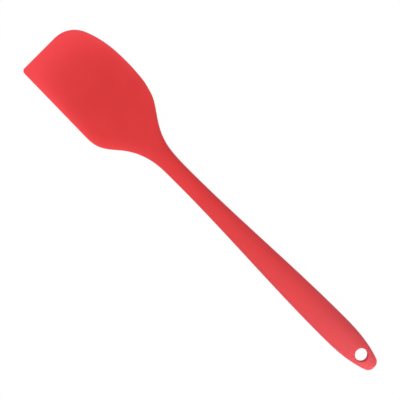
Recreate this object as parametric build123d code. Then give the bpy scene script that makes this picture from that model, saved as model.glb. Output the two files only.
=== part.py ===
from build123d import *
import math
import os

# Kitchen spatula moulded in one piece: a silicone skin round a stamped steel core.
# Y runs from the end of the handle to the front of the blade, X to the blade's curved side
# and Z up. The spatula lies on its own underside, which touches Z = 0 under the belly of the
# handle and under the heel of the blade. The origin is below the middle of its length.
# Millimetres.

# Lengths along the axis of the handle
overall_length = 280.0
belly_from_end = 37.0
neck_from_front = 116.5
flare_length = 60.0

# Widths, each from the axis of the handle to one edge
end_half_width = 3.65
belly_half_width = 9.1
neck_half_width = 5.63
blade_curved_side = 25.55
blade_straight_side = 24.82
straight_side_taper = 1.0
curved_side_sweep = 10.65

# Thicknesses through the middle of a section
end_thickness = 4.0
belly_thickness = 12.0
neck_thickness = 8.0
front_edge_thickness = 1.2

# Corners seen from above, and the narrow bevel that softens the edge all round
handle_end_radius = 4.5
front_sharp_radius = 2.4
front_round_radius = 17.3
rim_bevel = 0.35

# Hole that hangs the spatula on a hook
hang_hole_radius = 4.0
hang_hole_from_end = 11.2
hang_hole_rim_radius = 0.8

# Steel core: a flat strip that widens into a paddle behind the flexible front of the blade
core_thickness = 1.5
core_edge_bevel = 0.3
core_to_hang_hole = 5.0
core_rear_half_width = 4.6
core_neck_half_width = 2.9
core_paddle_half_width = 8.0
core_paddle_length = 48.0
core_paddle_corner_radius = 4.0
core_front_from_front = 44.0

# Holes in the core, through which the two faces of the silicone are one
lock_hole_radius = 1.6
lock_hole_pitch = 45.0
lock_hole_from_core_rear = 12.0
paddle_hole_radius = 2.2
paddle_hole_pitch = 8.4

# One overrun serves every cut
cut_overrun = 2.0

# How fast each taper comes on
end_taper_power_share = 2.8
blade_thinning_power_share = 2.1
curved_side_power_share = 2.5

# Where an arch is divided into its strips: a broad crown between two shoulders and two flanks
strip_shares = (0.1, 0.3, 0.7, 0.9)

# Place of the widest point of the curved side, along the blade in front of the flare
widest_share = 0.27

# Arch of a section, from its rim to its middle: inset, height and crown of its control points,
# as shares of its half width and of its rise. The handle is close to an ellipse, while the
# blade is flat in the middle and drops near its rim.
handle_arch_shares = (0.08, 0.69, 0.39)
blade_arch_shares = (0.19, 1.56, 0.03)

# The arch is made this much wider than the outline that trims it
arch_width_share = 1.02

# Part of the front edge's half thickness that the bevel may take
bevel_room_share = 0.85

# The flare as shares: along it, out to the curved side and out to the straight side
flare_shares = (
    (0.14, 0.004, 0.001),
    (0.24, 0.021, 0.010),
    (0.34, 0.060, 0.050),
    (0.44, 0.144, 0.135),
    (0.54, 0.282, 0.273),
    (0.64, 0.472, 0.480),
    (0.72, 0.640, 0.688),
    (0.78, 0.750, 0.828),
    (0.84, 0.829, 0.928),
    (0.90, 0.884, 0.981),
    (0.95, 0.924, 0.998),
    (1.00, 0.951, 1.000),
)

# Where the sections stand along the other stretches of the outline
end_station_shares = (1.0, 0.97, 0.92, 0.85, 0.75, 0.62, 0.45, 0.25)
handle_station_shares = (0.0, 0.12, 0.25, 0.38, 0.5, 0.62, 0.75, 0.88, 1.0)
blade_station_shares = (0.12, 0.25, 0.37, 0.50, 0.62, 0.74, 0.86, 1.0)

# Places along Y
handle_end_y = -overall_length / 2
front_y = overall_length / 2
belly_y = handle_end_y + belly_from_end
neck_y = front_y - neck_from_front
shoulder_y = neck_y + flare_length
widest_y = shoulder_y + (front_y - shoulder_y) * widest_share
hang_hole_y = handle_end_y + hang_hole_from_end
core_rear_y = hang_hole_y + hang_hole_radius + core_to_hang_hole
core_front_y = front_y - core_front_from_front
core_throat_y = core_front_y - core_paddle_length


def ease(share):
    """Rises from 0 to 1 with level ends."""
    return 3 * share**2 - 2 * share**3


def half_thickness(y):
    """Half the thickness on the axis, at a place along Y."""
    if y < belly_y:
        past = (belly_y - y) / belly_from_end
        full = belly_thickness - (belly_thickness - end_thickness) * past**end_taper_power_share
    elif y < neck_y:
        past = ease((y - belly_y) / (neck_y - belly_y))
        full = belly_thickness + (neck_thickness - belly_thickness) * past
    else:
        past = (y - neck_y) / neck_from_front
        thinned = (neck_thickness - front_edge_thickness) * past**blade_thinning_power_share
        full = neck_thickness - thinned
    return full / 2


def handle_half_width(y):
    """Half the width of the handle, at a place between its end and the neck."""
    if y < belly_y:
        past = (belly_y - y) / belly_from_end
        return belly_half_width - (belly_half_width - end_half_width) * past**end_taper_power_share
    past = ease((y - belly_y) / (neck_y - belly_y))
    return belly_half_width + (neck_half_width - belly_half_width) * past


def blade_edges(y):
    """How far the blade's curved and straight sides stand out, in front of the flare."""
    past_shoulder = (y - shoulder_y) / (front_y - shoulder_y)
    straight = blade_straight_side - straight_side_taper * past_shoulder
    if y < widest_y:
        still_to_gain = (1 - flare_shares[-1][1]) * (blade_curved_side - neck_half_width)
        to_widest = (widest_y - y) / (widest_y - shoulder_y)
        return blade_curved_side - still_to_gain * to_widest**2, straight
    past_widest = (y - widest_y) / (front_y - widest_y)
    return blade_curved_side - curved_side_sweep * past_widest**curved_side_power_share, straight


def stations():
    """Each section's place along Y, its two edges and how far it is a blade, from 0 to 1."""
    rows = []
    for share in end_station_shares:
        y = belly_y - belly_from_end * share
        rows.append((y, handle_half_width(y), handle_half_width(y), 0))
    for share in handle_station_shares:
        y = belly_y + (neck_y - belly_y) * share
        rows.append((y, handle_half_width(y), handle_half_width(y), 0))
    for along, out_curved, out_straight in flare_shares:
        y = neck_y + flare_length * along
        curved = neck_half_width + (blade_curved_side - neck_half_width) * out_curved
        straight = neck_half_width + (blade_straight_side - neck_half_width) * out_straight
        rows.append((y, curved, straight, ease(along)))
    for share in blade_station_shares:
        y = shoulder_y + (front_y - shoulder_y) * share
        rows.append((y, *blade_edges(y), 1))
    return rows


def arch_strip(points, start, end):
    """Piece of an arch between two shares of it, found by subdividing its control points."""
    controls = []
    for from_end in range(len(points)):
        row = points
        for step in range(len(points) - 1):
            share = end if step < from_end else start
            row = [near + (far - near) * share for near, far in zip(row, row[1:])]
        controls.append(row[0])
    return Edge.make_bezier(*controls)


def arch_strips(points):
    """The whole arch in its strips."""
    cuts = (0, *strip_shares, 1)
    return [arch_strip(points, start, end) for start, end in zip(cuts, cuts[1:])]


def crowned_section(y, curved, straight, bladeness):
    """Section of the crowned form: an arch, a low wall at each side and the arch mirrored."""
    wall = front_edge_thickness / 2
    rise = half_thickness(y) - wall
    middle = (curved - straight) / 2
    reach = (curved + straight) / 2 * arch_width_share
    inset, shoulder, crown = (
        on_handle + (on_blade - on_handle) * bladeness
        for on_handle, on_blade in zip(handle_arch_shares, blade_arch_shares)
    )
    # A curve with six control points is this high in its middle: (2 a + 10 b + 20 c) / 32
    summit = (32 - 10 * shoulder) / 20
    outs = (1, 1 - inset, crown, -crown, inset - 1, -1)
    ups = (0, shoulder, summit, summit, shoulder, 0)
    upper = [Vector(middle + reach * out, y, wall + rise * up) for out, up in zip(outs, ups)]
    lower = [Vector(point.X, y, -point.Z) for point in reversed(upper)]
    return Wire(
        [
            *arch_strips(upper),
            Edge.make_line(upper[-1], lower[0]),
            *arch_strips(lower),
            Edge.make_line(lower[-1], upper[0]),
        ]
    )


def round_corner(outline, side, y, radius):
    """Rounds one corner of the outline: the one furthest to a side of the line at y."""
    on_line = outline.vertices().sort_by(lambda vertex: abs(vertex.Y - y))[:2]
    corner = on_line.sort_by(lambda vertex: side * vertex.X)[-1]
    return outline.fillet_2d(radius, [corner])


def outline_face():
    """The spatula's outline seen from above."""
    rows = stations()
    curved_side = Edge.make_spline([Vector(row[1], row[0], 0) for row in rows])
    straight_side = Edge.make_spline([Vector(-row[2], row[0], 0) for row in rows])
    handle_end = Edge.make_line(straight_side @ 0, curved_side @ 0)
    front = Edge.make_line(straight_side @ 1, curved_side @ 1)
    outline = Face(Wire([handle_end, curved_side, front, straight_side]))
    outline = round_corner(outline, 1, handle_end_y, handle_end_radius)
    outline = round_corner(outline, -1, handle_end_y, handle_end_radius)
    outline = round_corner(outline, -1, front_y, front_sharp_radius)
    return round_corner(outline, 1, front_y, front_round_radius)


def outer_form():
    """Outside of the silicone: a crowned form trimmed to the outline, with a soft edge."""
    crowned = Solid.make_loft([crowned_section(*row) for row in stations()])
    trim = extrude(outline_face(), belly_thickness, dir=(0, 0, 1), both=True)
    form = (trim & crowned).solid()
    walls = form.faces().filter_by(GeomType.BSPLINE, reverse=True)
    rim_edges = walls.edges().filter_by(Axis.Z, reverse=True)
    bevel = min(rim_bevel, bevel_room_share * front_edge_thickness / 2)
    form = form.chamfer(bevel, None, rim_edges)
    drill = Cylinder(hang_hole_radius, belly_thickness + 2 * cut_overrun)
    drilled = (form - Pos(Y=hang_hole_y) * drill).solid()
    bore = drilled.faces().filter_by(GeomType.CYLINDER).sort_by(
        lambda face: (face.center() - Vector(Y=hang_hole_y)).length
    )[0]
    return drilled.fillet(hang_hole_rim_radius, bore.edges().filter_by(GeomType.BSPLINE))


def core_blank():
    """Flat pattern of the steel core: a tapered shank that runs into the paddle."""
    rear = Pos(Y=core_rear_y + core_rear_half_width) * Circle(core_rear_half_width)
    throat = Pos(Y=core_throat_y) * Circle(core_neck_half_width)
    corner_x = core_paddle_half_width - core_paddle_corner_radius
    corner_y = core_front_y - core_paddle_corner_radius
    left, right = (
        Pos(side * corner_x, corner_y) * Circle(core_paddle_corner_radius) for side in (-1, 1)
    )
    shank = make_hull(rear.edges() + throat.edges())
    paddle = make_hull(throat.edges() + left.edges() + right.edges())
    return shank + paddle


def core_holes():
    """Holes that lock the core: a row along the shank and a cluster in the paddle."""
    first_y = core_rear_y + lock_hole_from_core_rear
    count = math.floor((core_throat_y - first_y) / lock_hole_pitch) + 1
    row = [Pos(Y=first_y + lock_hole_pitch * step) * Circle(lock_hole_radius) for step in range(count)]
    cluster_y = core_front_y - paddle_hole_pitch
    places = (
        (-paddle_hole_pitch / 2, cluster_y),
        (paddle_hole_pitch / 2, cluster_y),
        (0, cluster_y - paddle_hole_pitch),
    )
    cluster = [Pos(x, y) * Circle(paddle_hole_radius) for x, y in places]
    return row + cluster


def steel_core():
    """Stamped strip with bevelled edges and its holes, in the middle of the silicone."""
    strip = extrude(core_blank(), core_thickness / 2, both=True).solid()
    faces = strip.faces().filter_by(Axis.Z)
    strip = strip.chamfer(core_edge_bevel, None, faces[0].edges() + faces[1].edges())
    punches = [
        extrude(hole, core_thickness / 2 + cut_overrun, both=True) for hole in core_holes()
    ]
    return (strip - punches).solid()


def resting_lean():
    """Slope that lays the spatula on its belly and its heel, found by settling it in steps."""
    steps = round(overall_length)
    places = [handle_end_y + overall_length * step / steps for step in range(steps + 1)]
    slope = 0
    for _ in range(8):
        belly = max((y for y in places if y < neck_y), key=lambda y: half_thickness(y) - slope * y)
        heel = max((y for y in places if y >= neck_y), key=lambda y: half_thickness(y) - slope * y)
        slope = (half_thickness(heel) - half_thickness(belly)) / (heel - belly)
    return slope


form = outer_form()
core = steel_core()
skin = (form - core).solid()
lean = Rot(X=math.degrees(math.atan(resting_lean())))
lowest_z = (lean * skin).bounding_box().min.Z
resting_place = Pos(Z=-lowest_z) * lean

os.makedirs("parts", exist_ok=True)
export_step(resting_place * skin, "parts/silicone_body.step")
export_step(resting_place * core, "parts/steel_core.step")
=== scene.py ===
import math

import bmesh
import bpy
import numpy as np
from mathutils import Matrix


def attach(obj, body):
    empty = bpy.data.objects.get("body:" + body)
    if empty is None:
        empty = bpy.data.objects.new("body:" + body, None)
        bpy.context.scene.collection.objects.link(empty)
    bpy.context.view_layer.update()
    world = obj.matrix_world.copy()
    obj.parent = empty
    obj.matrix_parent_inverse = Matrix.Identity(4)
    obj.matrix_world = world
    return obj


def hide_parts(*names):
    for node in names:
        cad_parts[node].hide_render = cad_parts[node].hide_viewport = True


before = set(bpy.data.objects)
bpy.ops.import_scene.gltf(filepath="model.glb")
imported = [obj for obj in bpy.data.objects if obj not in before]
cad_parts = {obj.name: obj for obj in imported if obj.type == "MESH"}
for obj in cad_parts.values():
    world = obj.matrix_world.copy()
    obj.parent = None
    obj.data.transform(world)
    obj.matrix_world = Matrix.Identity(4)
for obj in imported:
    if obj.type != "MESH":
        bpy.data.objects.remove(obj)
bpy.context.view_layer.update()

# A kitchen spatula moulded in one piece, seen from straight above on a white surface. The whole
# outside is silicone. A steel core is hidden inside it.
# Metres, in the frame of the CAD model: Y from the end of the handle to the front of the blade,
# X to the blade's curved side, Z up.

mm = 0.001

# Lengths along the handle
overall_length = 280 * mm
belly_from_end = 37 * mm
neck_from_front = 116.5 * mm
flare_length = 60 * mm

# Widths, each from the axis of the handle to one edge
end_half_width = 3.65 * mm
belly_half_width = 9.1 * mm
neck_half_width = 5.63 * mm
blade_curved_side = 25.55 * mm
blade_straight_side = 24.82 * mm
straight_side_taper = 1 * mm
curved_side_sweep = 10.65 * mm

# Thicknesses through the middle of a section
end_thickness = 4 * mm
belly_thickness = 12 * mm
neck_thickness = 8 * mm
front_edge_thickness = 1.2 * mm

# Corners seen from above, and the roundings of the edge and of the hole
handle_end_radius = 4.5 * mm
front_sharp_radius = 2.4 * mm
front_round_radius = 17.3 * mm
rim_radius = 0.55 * mm
nose_length = 9 * mm
hang_hole_radius = 4 * mm
hang_hole_from_end = 11.2 * mm
hang_hole_rim_radius = 0.8 * mm

# Line that the two halves of the mould leave round the edge
parting_line_height = 0.05 * mm
parting_line_width = 0.12 * mm

# How fast each taper comes on, and how the arch of a section falls to its edge
end_taper_power = 2.8
blade_thinning_power = 2.1
curved_side_power = 2.5
widest_share = 0.27
handle_arch_power = 2
blade_arch_power = 4
arch_share = 0.98

# Part of its height that the rounding takes up at the very end of the handle
nose_rounding_share = 0.8

# The flare as shares: along it, out to the curved side and out to the straight side
flare_shares = np.array(
    [
        (0.14, 0.004, 0.001),
        (0.24, 0.021, 0.010),
        (0.34, 0.060, 0.050),
        (0.44, 0.144, 0.135),
        (0.54, 0.282, 0.273),
        (0.64, 0.472, 0.480),
        (0.72, 0.640, 0.688),
        (0.78, 0.750, 0.828),
        (0.84, 0.829, 0.928),
        (0.90, 0.884, 0.981),
        (0.95, 0.924, 0.998),
        (1.00, 0.951, 1.000),
    ]
)

# Light through the silicone, painted into its colour as a glow: none at this thickness or more,
# most at the other
hiding_thickness = 5.5 * mm
painted_glow_thickness = 1.2 * mm

# Light through the edges of the spatula, painted into its colour as a glow: how far it reaches
# inwards, how strong it is on the handle and at each side of the blade, and how far from the neck
# it takes to build up
painted_edge_glow_reach = 7 * mm
painted_handle_edge_glow = 0.08
painted_curved_edge_glow = 0.3
painted_straight_edge_glow = 0.5
painted_edge_glow_rise = 85 * mm

# How finely the surface is divided. Rows run round the outline and columns across it.
step_along = 1 * mm
rim_rows = 8
inner_rows = 32
wall_rows = 10
hole_rim_rows = 8
hole_wall_rows = 8
handle_end_columns = 3
ring_side_columns = 33
front_columns = 13
arc_step = math.radians(5)

# Share of the wall's rows that is evenly spaced. The rest crowds at the parting line.
even_row_share = 0.4

# How far in front of the ring round the hole the surface still runs to it, and how far behind the
# rounding of the front corner the spine ends
past_ring = 10 * mm
spine_inset = 10 * mm

# Stations of the side curves on the handle and in the blade, and the places that are tried where
# a corner's arc or the resting position is looked for
handle_stations = 41
blade_stations = 14
corner_places = 4001
resting_places = 561
resting_rounds = 8

# Span of a noise over which a colour changes from one shade to the other
noise_span = (0.3, 0.7)

# Silicone: its two shades, its painted glow where light comes through, and a painted sheen on the
# handle
dark_red = (0.71, 0.021, 0.021, 1)
light_red = (0.75, 0.024, 0.024, 1)
# Painted glow: a paler red that stands in for light coming through thin silicone and its edges
painted_glow_red = (1.0, 0.056, 0.068, 1)
# Painted sheen: a pale bluish colour that stands in for light reflected towards the end of the
# handle
painted_sheen_colour = (0.15, 0.28, 0.35, 1)
painted_sheen_share = 0.13

# Silicone's roughness, what smears and the wall of the hole add to it, how far outside the bore
# that wall counts, and what slow swelling and fine grain share in its relief
plain_roughness = 0.54
smear_roughness = 0.10
bore_roughness = 0.35
bore_margin = 0.2 * mm
swell_share = 0.4
grain_share = 0.6

# Steel: its two shades, and its roughness with what streaks and patches add to it
dark_steel = (0.50, 0.50, 0.51, 1)
light_steel = (0.66, 0.66, 0.67, 1)
steel_roughness = 0.26
streak_roughness = 0.12
patch_roughness = 0.08

# Floor: how far it reaches in metres, its grey under the lamps, its white where it is seen, and
# the share and brightness of the plain white there
floor_reach = 3
floor_grey = (0.40, 0.40, 0.40, 1)
floor_white = (0.97, 0.97, 0.97, 1)
floor_plain_share = 0.95
floor_brightness = 1.01

# Light from all round on the blade's straight side and on its curved side
world_straight_side = 0.75
world_curved_side = 0.57

# Soft lights: name, direction that it stands in, point that it faces, distance, size and watts
soft_lights = (
    ("soft_left", (-1, 0, 0.75), (0, 0, 0), 1.2, 0.8, 2.2),
    ("soft_rear", (0, -1, 0.8), (0, 0, 0), 1.2, 1.0, 2.4),
    ("soft_front", (-0.4, 1, 0.4), (0, 0, 0), 1.2, 0.8, 1.0),
    ("soft_above", (0, -0.4, 0.9), (0, 0, 0), 1.0, 0.6, 1.3),
    ("soft_end", (-0.6, -1, 0.6), (0, -0.142, 0.006), 0.12, 0.08, 0.07),
)

# Camera: what the picture is centred on, how it is turned, how much it takes in and from how far
aim_x = -2.72 * mm
aim_y = 7.03 * mm
camera_turn = math.radians(-45.05)
picture_width = 244.2 * mm
camera_distance = 900 * mm
mid_plane_z = 4.6 * mm

# Places along Y
handle_end_y = -overall_length / 2
front_y = overall_length / 2
belly_y = handle_end_y + belly_from_end
neck_y = front_y - neck_from_front
shoulder_y = neck_y + flare_length
widest_y = shoulder_y + (front_y - shoulder_y) * widest_share
hang_hole_y = handle_end_y + hang_hole_from_end
ring_radius = hang_hole_radius + hang_hole_rim_radius
ring_front_y = hang_hole_y + ring_radius
ring_columns_y = ring_front_y + past_ring
spine_front_y = front_y - front_round_radius - spine_inset


def ease(share):
    """Rises from 0 to 1 with level ends: 3 s^2 - 2 s^3."""
    share = np.clip(share, 0, 1)
    return 3 * share**2 - 2 * share**3


def half_thickness(y):
    """Half the thickness on the axis: full at the belly, less by a power of the way towards the
    end, eased down to the neck, and less by a power of the way towards the front."""
    past_belly = np.clip((belly_y - y) / belly_from_end, 0, 1)
    past_neck = np.clip((y - neck_y) / neck_from_front, 0, 1)
    full = belly_thickness - (belly_thickness - end_thickness) * past_belly**end_taper_power
    full = full - (belly_thickness - neck_thickness) * ease((y - belly_y) / (neck_y - belly_y))
    return (full - (neck_thickness - front_edge_thickness) * past_neck**blade_thinning_power) / 2


def handle_half_width(y):
    """Half the width of the handle, by the same kind of taper as its thickness."""
    past_belly = np.clip((belly_y - y) / belly_from_end, 0, 1)
    full = belly_half_width - (belly_half_width - end_half_width) * past_belly**end_taper_power
    return full - (belly_half_width - neck_half_width) * ease((y - belly_y) / (neck_y - belly_y))


def blade_curved_edge(y):
    """The curved side in front of the flare: a parabola up to the widest point, then a power."""
    still_to_gain = (1 - flare_shares[-1, 1]) * (blade_curved_side - neck_half_width)
    to_widest = np.clip((widest_y - y) / (widest_y - shoulder_y), 0, 1)
    past_widest = np.clip((y - widest_y) / (front_y - widest_y), 0, None)
    swept = curved_side_sweep * past_widest**curved_side_power
    return blade_curved_side - still_to_gain * to_widest**2 - swept


def blade_straight_edge(y):
    """The straight side in front of the flare: a line that comes in slightly."""
    return blade_straight_side - straight_side_taper * (y - shoulder_y) / (front_y - shoulder_y)


def smooth_curve(knots, values, places):
    """Cubic curve through points. Its bends b at the knots solve
    h0 b0 + 2 (h0 + h1) b1 + h1 b2 = 6 (slope1 - slope0), with no bend at its two ends."""
    gaps = np.diff(knots)
    slopes = np.diff(values) / gaps
    rows = np.diag(2 * (gaps[:-1] + gaps[1:])) + np.diag(gaps[1:-1], 1) + np.diag(gaps[1:-1], -1)
    bends = np.concatenate([[0], np.linalg.solve(rows, 6 * np.diff(slopes)), [0]])
    left = np.clip(np.searchsorted(knots, places) - 1, 0, len(gaps) - 1)
    gap, before, after = gaps[left], places - knots[left], knots[left + 1] - places
    bent = (bends[left] * after**3 + bends[left + 1] * before**3) / (6 * gap)
    near = (values[left] / gap - bends[left] * gap / 6) * after
    far = (values[left + 1] / gap - bends[left + 1] * gap / 6) * before
    return bent + near + far


def side_stations():
    """Places along Y with the two half widths there: formulas on the handle and in the blade,
    the table of shares between them."""
    handle = np.linspace(handle_end_y, neck_y, handle_stations)
    flare = neck_y + flare_length * flare_shares[:, 0]
    blade = np.linspace(shoulder_y, front_y, blade_stations + 1)[1:]
    curved = neck_half_width + (blade_curved_side - neck_half_width) * flare_shares[:, 1]
    straight = neck_half_width + (blade_straight_side - neck_half_width) * flare_shares[:, 2]
    return (
        np.concatenate([handle, flare, blade]),
        np.concatenate([handle_half_width(handle), curved, blade_curved_edge(blade)]),
        np.concatenate([handle_half_width(handle), straight, blade_straight_edge(blade)]),
    )


station_y, station_curved, station_straight = side_stations()


def half_width(y, side):
    """Width from the axis to one side, +1 the curved one and -1 the straight one."""
    return smooth_curve(station_y, station_curved if side > 0 else station_straight, y)


def top_height(x, y):
    """Height of the top over the mid-plane: w + r (1 - |k s|^n)^(1/2), where s goes from 0 in the
    middle of a section to 1 at its edge, r is the rise over the wall w, and n grows from the
    handle's ellipse to the blade, which is flat and falls off near its edge."""
    curved, straight = half_width(y, 1), half_width(y, -1)
    wall = front_edge_thickness / 2
    rise = half_thickness(y) - wall
    outward = np.clip(np.abs(x - (curved - straight) / 2) / ((curved + straight) / 2), 0, 1)
    bladeness = ease((y - neck_y) / flare_length)
    power = handle_arch_power + (blade_arch_power - handle_arch_power) * bladeness
    return wall + rise * np.sqrt(1 - (arch_share * outward) ** power)


def side_line(side, places):
    """Points of a side and its outward normals, (1, -slope) made a unit."""
    out = half_width(places, side)
    near = step_along / 10
    slope = (half_width(places + near, side) - half_width(places - near, side)) / (2 * near)
    length = np.sqrt(1 + slope**2)
    points = np.stack([side * out, places], axis=1)
    normals = np.stack([side / length, -slope / length], axis=1)
    return points, normals


def corner(side, end, radius):
    """Rounded corner between a side and an end of the outline. Its centre lies one radius inside
    both, where the side moved inwards by the radius crosses the end moved inwards likewise.
    Gives where the arc leaves the side, its points from there to the end, and their normals."""
    places = np.linspace(handle_end_y, front_y, corner_places)
    points, normals = side_line(side, places)
    moved = points - radius * normals
    wanted = end * (overall_length / 2 - radius)
    leaves = np.interp(wanted, moved[:, 1], places)
    centre = np.array([np.interp(wanted, moved[:, 1], moved[:, 0]), wanted])
    start = math.asin(np.interp(leaves, places, normals[:, 1]))
    steps = math.ceil(abs(end * math.pi / 2 - start) / arc_step)
    angles = np.linspace(start, end * math.pi / 2, steps + 1)
    around = np.stack([side * np.cos(angles), np.sin(angles)], axis=1)
    return leaves, centre + radius * around, around


def half_outline(side, front_radius, front_meets_x):
    """One side of the outline from the middle of the handle's end to the front. Each point has
    its outward normal and the inner point that the surface runs to. At first that lies on the ring
    round the hole, at an angle of 180 s - 90 degrees, s being the share of the way along. Then it
    lies on the spine, and in front at the end of the spine."""
    rear_leaves, rear_arc, rear_normals = corner(side, -1, handle_end_radius)
    front_leaves, front_arc, front_normals = corner(side, 1, front_radius)
    rear = np.linspace(rear_leaves, ring_columns_y, ring_side_columns + 1)
    middle_steps = round((spine_front_y - ring_columns_y) / step_along)
    ahead_steps = max(round((front_leaves - spine_front_y) / step_along), 2)
    middle = np.linspace(ring_columns_y, spine_front_y, middle_steps)
    ahead = np.linspace(spine_front_y, front_leaves, ahead_steps)
    places = np.concatenate([rear[1:-1], middle, ahead[1:-1]])
    points, normals = side_line(side, places)
    flat = np.linspace(front_arc[-1], (front_meets_x, front_y), front_columns + 1)[1:]
    end_flat = np.linspace((0, handle_end_y), rear_arc[-1], handle_end_columns + 1)[:-1]
    points = np.concatenate([end_flat, rear_arc[::-1], points, front_arc, flat])
    backwards, forwards = np.tile((0, -1), (len(end_flat), 1)), np.tile((0, 1), (len(flat), 1))
    normals = np.concatenate([backwards, rear_normals[::-1], normals, front_normals, forwards])
    steps = np.linalg.norm(np.diff(points, axis=0), axis=1)
    along = np.concatenate([[0], np.cumsum(steps)])
    last_on_ring = len(end_flat) + len(rear_arc) + len(rear) - 2
    angles = math.pi * np.clip(along / along[last_on_ring], 0, 1) - math.pi / 2
    around = np.stack([side * np.cos(angles), np.sin(angles)], axis=1)
    ring = (0, hang_hole_y) + ring_radius * around
    beside, on_spine = (ring_columns_y, spine_front_y), (ring_front_y, spine_front_y)
    spine_y = np.interp(points[:, 1], beside, on_spine)
    spine = np.stack([0 * angles, spine_y], axis=1)
    number = np.arange(len(points))
    in_front = (number >= last_on_ring + len(middle) - 1)[:, None]
    inner = np.where((number <= last_on_ring)[:, None], ring, spine)
    inner = np.where(in_front, (0, spine_front_y), inner)
    return points, normals, inner, angles[: last_on_ring + 1]


def outline():
    """The closed outline: the curved side forwards and the straight side back."""
    right_end = corner(1, 1, front_round_radius)[1][-1, 0]
    left_end = corner(-1, 1, front_sharp_radius)[1][-1, 0]
    meet = (right_end + left_end) / 2
    right = half_outline(1, front_round_radius, meet)
    left = half_outline(-1, front_sharp_radius, meet)
    points, normals, inner = (np.concatenate([a, b[-2:0:-1]]) for a, b in zip(right[:3], left[:3]))
    ring_angles = np.concatenate([right[3], math.pi - left[3][-2:0:-1]])
    return points, normals, inner, ring_angles


def grid_faces(rows, columns, first):
    """Four-sided faces of a grid that is closed along its rows, numbered row by row."""
    row, column = np.meshgrid(np.arange(rows - 1), np.arange(columns), indexing="ij")
    beside = (column + 1) % columns
    here, next_row = row * columns, (row + 1) * columns
    corners = (here + column, here + beside, next_row + beside, next_row + column)
    return first + np.stack(corners, axis=-1).reshape(-1, 4)


def edge_radius(points):
    """Radius of the edge's rounding: the rim's, and towards the end of the handle more and more a
    share of the height there, which makes a round nose of it."""
    nose = nose_rounding_share * top_height(points[:, 0], points[:, 1])
    into_nose = ease((handle_end_y + nose_length - points[:, 1]) / nose_length)
    return rim_radius + (nose - rim_radius) * into_nose


def upper_surface(points, normals, inner):
    """Top from its edge inwards. The first rows turn through a quarter circle of the edge's radius
    R, going in by R (1 - cos a) and up to R (1 - sin a) below the arch. The rest run straight to
    the inner points, closest together beside the rim, on the arch itself."""
    turn = np.linspace(0, math.pi / 2, rim_rows + 1)[:, None]
    radius = edge_radius(points)
    rim = points - normals * (radius * (1 - np.cos(turn)))[..., None]
    way = 1 - np.cos(np.linspace(0, math.pi / 2, inner_rows + 1)[1:, None, None])
    field = rim[-1] + (inner - rim[-1]) * way
    plan = np.concatenate([rim, field])
    below = np.concatenate([radius * (1 - np.sin(turn)), np.zeros((inner_rows, len(points)))])
    return plan, top_height(plan[..., 0], plan[..., 1]) - below


def edge_wall(points, normals, edge_height):
    """Wall between the two rims, t from -1 to 1 of its height, with the parting line as a ridge of
    height h (1 - t^2) exp(-(z / w)^2)."""
    even = np.linspace(-1, 1, wall_rows + 1)[:, None]
    across = even_row_share * even + (1 - even_row_share) * even**3
    z = across * edge_height
    ridge = parting_line_height * (1 - across**2) * np.exp(-((z / parting_line_width) ** 2))
    return points + normals * ridge[..., None], z


def hole_lining(ring_angles):
    """Inside of the hanging hole: a quarter circle down from the top, a straight wall and a
    quarter circle out to the underside, carried round the hole."""
    turn = np.linspace(0, math.pi / 2, hole_rim_rows + 1)
    radius = ring_radius - hang_hole_rim_radius * np.sin(turn)
    below = hang_hole_rim_radius * (1 - np.cos(turn))
    x = radius[:, None] * np.cos(ring_angles)
    y = hang_hole_y + radius[:, None] * np.sin(ring_angles)
    z = top_height(x, y) - below[:, None]
    share = np.linspace(1, -1, hole_wall_rows + 1)[1:-1, None]
    rows_x = np.concatenate([x, np.repeat(x[-1:], len(share), axis=0), x[::-1]])
    rows_y = np.concatenate([y, np.repeat(y[-1:], len(share), axis=0), y[::-1]])
    rows_z = np.concatenate([z, share * z[-1], -z[::-1]])
    return np.stack([rows_x, rows_y], axis=-1), rows_z


def resting_slope():
    """Slope that lays the spatula on its belly and its heel, the lowest places of its handle and
    of its blade, settled in a few rounds."""
    y = np.linspace(handle_end_y, front_y, resting_places)
    half, slope = half_thickness(y), 0
    for _ in range(resting_rounds):
        lowest = half - slope * y
        belly, heel = (y[part][np.argmax(lowest[part])] for part in (y < neck_y, y >= neck_y))
        slope = (half_thickness(heel) - half_thickness(belly)) / (heel - belly)
    return slope


def laid_down(vertices):
    """The vertices leaned by the resting slope about X and raised until the lowest is at 0."""
    lean = math.atan(resting_slope())
    cos, sin = math.cos(lean), math.sin(lean)
    x, y, z = vertices.T
    leaned = np.stack([x, y * cos - z * sin, y * sin + z * cos], axis=1)
    leaned[:, 2] -= leaned[:, 2].min()
    return leaned


def add_piece(name, vertices, faces, painted_glow):
    """A closed smooth mesh from arrays, its double vertices merged and its faces outwards. The
    painted glow of each vertex, light painted into its colour, goes with it for the material."""
    mesh = bpy.data.meshes.new(name)
    mesh.from_pydata(vertices.tolist(), [], faces.tolist())
    mesh.attributes.new("painted_glow", "FLOAT", "POINT").data.foreach_set("value", painted_glow)
    work = bmesh.new()
    work.from_mesh(mesh)
    bmesh.ops.remove_doubles(work, verts=work.verts, dist=1e-7)
    bmesh.ops.dissolve_degenerate(work, edges=work.edges, dist=1e-8)
    bmesh.ops.recalc_face_normals(work, faces=work.faces)
    work.to_mesh(mesh)
    work.free()
    mesh.shade_smooth()
    piece = bpy.data.objects.new(name, mesh)
    bpy.context.scene.collection.objects.link(piece)
    return piece


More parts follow.
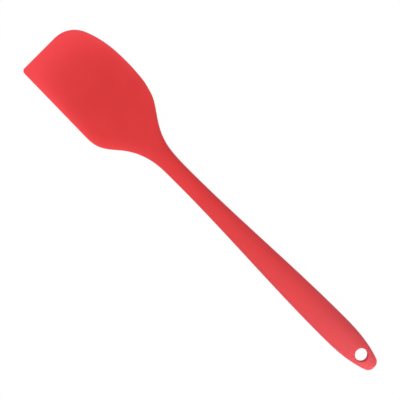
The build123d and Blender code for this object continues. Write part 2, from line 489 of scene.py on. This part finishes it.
def painted_glow_of(vertices):
    """How much light coming through is painted into the colour as a glow. It is the square of the
    way from the hiding thickness to the glowing one, where the thickness is twice the distance
    from the mid-plane, and a share that fades from each side edge as exp(-distance / reach) and
    grows from the handle to the blade."""
    x, y, z = vertices.T
    through = (hiding_thickness - 2 * np.abs(z)) / (hiding_thickness - painted_glow_thickness)
    forwards = ease((y - neck_y) / painted_edge_glow_rise)
    painted_glow = np.clip(through, 0, 1) ** 2
    # The painted glow is stronger on the straight side, which faces the brighter light
    for side, painted_blade_edge_glow in ((1, painted_curved_edge_glow), (-1, painted_straight_edge_glow)):
        share = painted_handle_edge_glow + (painted_blade_edge_glow - painted_handle_edge_glow) * forwards
        painted_glow = painted_glow + share * np.exp(-np.abs(half_width(y, side) - side * x) / painted_edge_glow_reach)
    return np.clip(painted_glow, 0, 1)


def silicone_skin():
    """The whole outside of the spatula as one closed surface."""
    points, normals, inner, ring_angles = outline()
    plan, height = upper_surface(points, normals, inner)
    wall_plan, wall_z = edge_wall(points, normals, height[0])
    hole_plan, hole_z = hole_lining(ring_angles)
    parts = ((plan, height), (plan, -height), (wall_plan, wall_z), (hole_plan, hole_z))
    vertices, faces, count = [], [], 0
    for part_plan, part_z in parts:
        rows, columns = part_z.shape
        vertices.append(np.concatenate([part_plan, part_z[..., None]], axis=-1).reshape(-1, 3))
        faces.append(grid_faces(rows, columns, count))
        count += rows * columns
    vertices, faces = np.concatenate(vertices), np.concatenate(faces)
    return add_piece("silicone_skin", laid_down(vertices), faces, painted_glow_of(vertices))


class Shade:
    """An output socket that takes part in sums as a number would, by adding Math nodes."""

    def __init__(self, finish, socket):
        self.finish, self.socket = finish, socket

    def maths(self, operation, first, second):
        inputs = {"Value": first, "Value_001": second}
        return self.finish.node("ShaderNodeMath", {"operation": operation}, inputs)

    def __add__(self, other):
        return self.maths("ADD", self, other)

    def __sub__(self, other):
        return self.maths("SUBTRACT", self, other)

    def __rsub__(self, other):
        return self.maths("SUBTRACT", other, self)

    def __mul__(self, other):
        return self.maths("MULTIPLY", self, other)

    __radd__ = __add__
    __rmul__ = __mul__

    def out(self, name):
        return Shade(self.finish, self.socket.node.outputs[name])


class Finish:
    """A node material, or the world's nodes, with one method that adds any node."""

    def __init__(self, owner):
        owner.use_nodes = True
        self.owner, self.tree = owner, owner.node_tree
        self.tree.nodes.clear()

    def node(self, kind, settings=None, inputs=None, output=None):
        node = self.tree.nodes.new(kind)
        for name, value in (settings or {}).items():
            setattr(node, name, value)
        for name, value in (inputs or {}).items():
            socket = next(s for s in node.inputs if name in (s.identifier, s.name))
            if isinstance(value, Shade):
                self.tree.links.new(value.socket, socket)
            else:
                socket.default_value = value
        if not node.outputs:
            return None
        found = (s for s in node.outputs if s.enabled and output in (None, s.identifier, s.name))
        return Shade(self, next(found))

    def noise(self, where, size, detail=2, roughness=0.5):
        """Noise whose patches are about this size in metres."""
        inputs = {"Vector": where, "Scale": 1 / size, "Detail": detail, "Roughness": roughness}
        return self.node("ShaderNodeTexNoise", {}, inputs)

    def mixed(self, share, first, second):
        """A colour between two, by a share."""
        inputs = {"Factor_Float": share, "A_Color": first, "B_Color": second}
        return self.node("ShaderNodeMix", {"data_type": "RGBA"}, inputs, "Result_Color")

    def between(self, value, low, high):
        """0 at or below one value and 1 at or above another, smoothly."""
        inputs = {"Value": value, "From Min": low, "From Max": high}
        settings = {"interpolation_type": "SMOOTHSTEP"}
        return self.node("ShaderNodeMapRange", settings, inputs, "Result")


def silicone_finish():
    """Satin red silicone: colour with faint clouding, painted brighter where light comes through,
    with a painted sheen, a pale bluish colour that stands in for reflected light, which grows
    towards the end of the handle as the square of the way there. It has the fine even grain of a
    blasted mould, and a rougher wall in the hole, where blasting doesn't reach."""
    finish = Finish(bpy.data.materials.new("red_silicone"))
    place = finish.node("ShaderNodeTexCoord", output="Object")
    cloud = finish.noise(place, 22 * mm, 3)
    smear = finish.noise(place, 9 * mm, 4, 0.6)
    grain = finish.noise(place, 0.25 * mm, 2)
    swell = finish.noise(place, 14 * mm, 1)
    painted_glow = finish.node("ShaderNodeAttribute", {"attribute_name": "painted_glow"}, output="Fac")
    colour = finish.mixed(finish.between(cloud, *noise_span), dark_red, light_red)
    # Painted glow: the red is made paler and brighter where light would come through thin silicone
    # and the edges
    colour = finish.mixed(painted_glow, colour, painted_glow_red)
    x = finish.node("ShaderNodeSeparateXYZ", {}, {"Vector": place}, "X")
    y = x.out("Y")
    inputs = {
        "Value": y,
        "From Min": handle_end_y,
        "From Max": shoulder_y,
        "To Min": 1,
        "To Max": 0,
    }
    # Painted sheen: the colour grows paler and bluer towards the end of the handle, in place of
    # reflected light
    painted_sheen_mask = finish.node("ShaderNodeMapRange", {}, inputs, "Result")
    colour = finish.mixed(painted_sheen_mask * painted_sheen_mask * painted_sheen_share, colour, painted_sheen_colour)
    from_hole = y - hang_hole_y
    off_axis = x * x + from_hole * from_hole
    bored = 1 - finish.between(off_axis, (hang_hole_radius + bore_margin) ** 2, ring_radius**2)
    surface = swell * swell_share + grain * grain_share
    inputs = {"Strength": 1.0, "Distance": 0.055 * mm, "Height": surface}
    relief = finish.node("ShaderNodeBump", {}, inputs)
    roughness = plain_roughness + smear_roughness * smear + bore_roughness * bored
    shader = finish.node(
        "ShaderNodeBsdfPrincipled",
        {},
        {
            "Base Color": colour,
            "Roughness": roughness,
            "Normal": relief,
            "IOR": 1.41,
            "Subsurface Weight": 0.25,
            "Subsurface Radius": (1.0, 0.25, 0.2),
            "Subsurface Scale": 0.8 * mm,
            "Sheen Weight": 0.15,
            "Sheen Roughness": 0.5,
            "Sheen Tint": (0.8, 0.7, 1.0, 1),
        },
    )
    finish.node("ShaderNodeOutputMaterial", {}, {"Surface": shader})
    return finish.owner


def steel_finish():
    """Rolled stainless strip: fine streaks along Y in its colour, gloss and relief."""
    finish = Finish(bpy.data.materials.new("rolled_steel"))
    place = finish.node("ShaderNodeTexCoord", output="Object")
    along = finish.node("ShaderNodeMapping", {}, {"Vector": place, "Scale": (1, 0.02, 1)})
    streak = finish.noise(along, 0.25 * mm, 4)
    patch = finish.noise(place, 12 * mm, 3)
    colour = finish.mixed(finish.between(streak, *noise_span), dark_steel, light_steel)
    inputs = {"Strength": 0.5, "Distance": 0.01 * mm, "Height": streak}
    relief = finish.node("ShaderNodeBump", {}, inputs)
    roughness = steel_roughness + streak_roughness * streak + patch_roughness * patch
    shader = finish.node(
        "ShaderNodeBsdfPrincipled",
        {},
        {
            "Base Color": colour,
            "Metallic": 1.0,
            "Roughness": roughness,
            "Normal": relief,
        },
    )
    finish.node("ShaderNodeOutputMaterial", {}, {"Surface": shader})
    return finish.owner


def seen_directly(finish):
    """1 for what the camera sees directly, or in gloss or through glass, and 0 for other light."""
    path = finish.node("ShaderNodeLightPath", output="Is Camera Ray")
    direct = path + path.out("Is Glossy Ray") + path.out("Is Transmission Ray")
    return finish.node("ShaderNodeClamp", {}, {"Value": direct})


def floor_finish():
    """White surface: mostly its own plain white where it is seen, so that a faint shadow stays."""
    finish = Finish(bpy.data.materials.new("white_floor"))
    direct = seen_directly(finish)
    albedo = finish.mixed(direct, floor_grey, floor_white)
    lit = finish.node("ShaderNodeBsdfDiffuse", {}, {"Color": albedo})
    inputs = {"Color": (1, 1, 1, 1), "Strength": floor_brightness}
    plain = finish.node("ShaderNodeEmission", {}, inputs)
    inputs = {"Fac": direct * floor_plain_share, "Shader": lit, "Shader_001": plain}
    surface = finish.node("ShaderNodeMixShader", {}, inputs)
    finish.node("ShaderNodeOutputMaterial", {}, {"Surface": surface})
    return finish.owner


def add_floor():
    """A wide flat surface at the spatula's underside."""
    mesh = bpy.data.meshes.new("floor")
    signs = ((-1, -1), (1, -1), (1, 1), (-1, 1))
    corners = [(floor_reach * x, floor_reach * y, 0) for x, y in signs]
    mesh.from_pydata(corners, [], [(0, 1, 2, 3)])
    floor = bpy.data.objects.new("floor", mesh)
    bpy.context.scene.collection.objects.link(floor)
    floor.data.materials.append(floor_finish())


def light_world():
    """White light from all round, stronger from the blade's straight side than from its curved
    side, and plain white where it is seen."""
    world = bpy.data.worlds.new("studio")
    bpy.context.scene.world = world
    finish = Finish(world)
    direction = finish.node("ShaderNodeTexCoord", output="Generated")
    x = finish.node("ShaderNodeSeparateXYZ", {}, {"Vector": direction}, "X")
    bright, dim, plain = (
        finish.node("ShaderNodeBackground", {}, {"Color": (1, 1, 1, 1), "Strength": strength})
        for strength in (world_straight_side, world_curved_side, 1.0)
    )
    inputs = {"Fac": finish.between(x, -1, 1), "Shader": bright, "Shader_001": dim}
    lit = finish.node("ShaderNodeMixShader", {}, inputs)
    inputs = {"Fac": seen_directly(finish), "Shader": lit, "Shader_001": plain}
    surface = finish.node("ShaderNodeMixShader", {}, inputs)
    finish.node("ShaderNodeOutputWorld", {}, {"Surface": surface})


def add_soft_light(name, towards, aim, distance, size, watts):
    """A square soft light that stands off in a direction from the point that it faces."""
    direction = np.array(towards) / np.linalg.norm(towards)
    lamp = bpy.data.lights.new(name, "AREA")
    lamp.size, lamp.energy = size, watts
    light = bpy.data.objects.new(name, lamp)
    light.location = np.array(aim) + direction * distance
    across = math.hypot(direction[0], direction[1])
    turn = math.atan2(direction[0], -direction[1])
    light.rotation_euler = (math.atan2(across, direction[2]), 0, turn)
    bpy.context.scene.collection.objects.link(light)


def add_camera():
    """Straight above, turned so that the handle runs from the upper left to the lower right."""
    camera = bpy.data.objects.new("camera", bpy.data.cameras.new("camera"))
    camera.data.sensor_width = 36
    camera.data.angle = 2 * math.atan(picture_width / 2 / camera_distance)
    camera.location = (aim_x, aim_y, camera_distance + mid_plane_z)
    camera.rotation_euler = (0, 0, camera_turn)
    bpy.context.scene.collection.objects.link(camera)
    bpy.context.scene.camera = camera


add_camera()
add_floor()
light_world()
for soft_light in soft_lights:
    add_soft_light(*soft_light)

skin = silicone_skin()
skin.data.materials.append(silicone_finish())
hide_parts("silicone_body")
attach(skin, "root")

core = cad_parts["steel_core"]
core.data.materials.clear()
core.data.materials.append(steel_finish())

bpy.context.scene.view_settings.view_transform = "Standard"
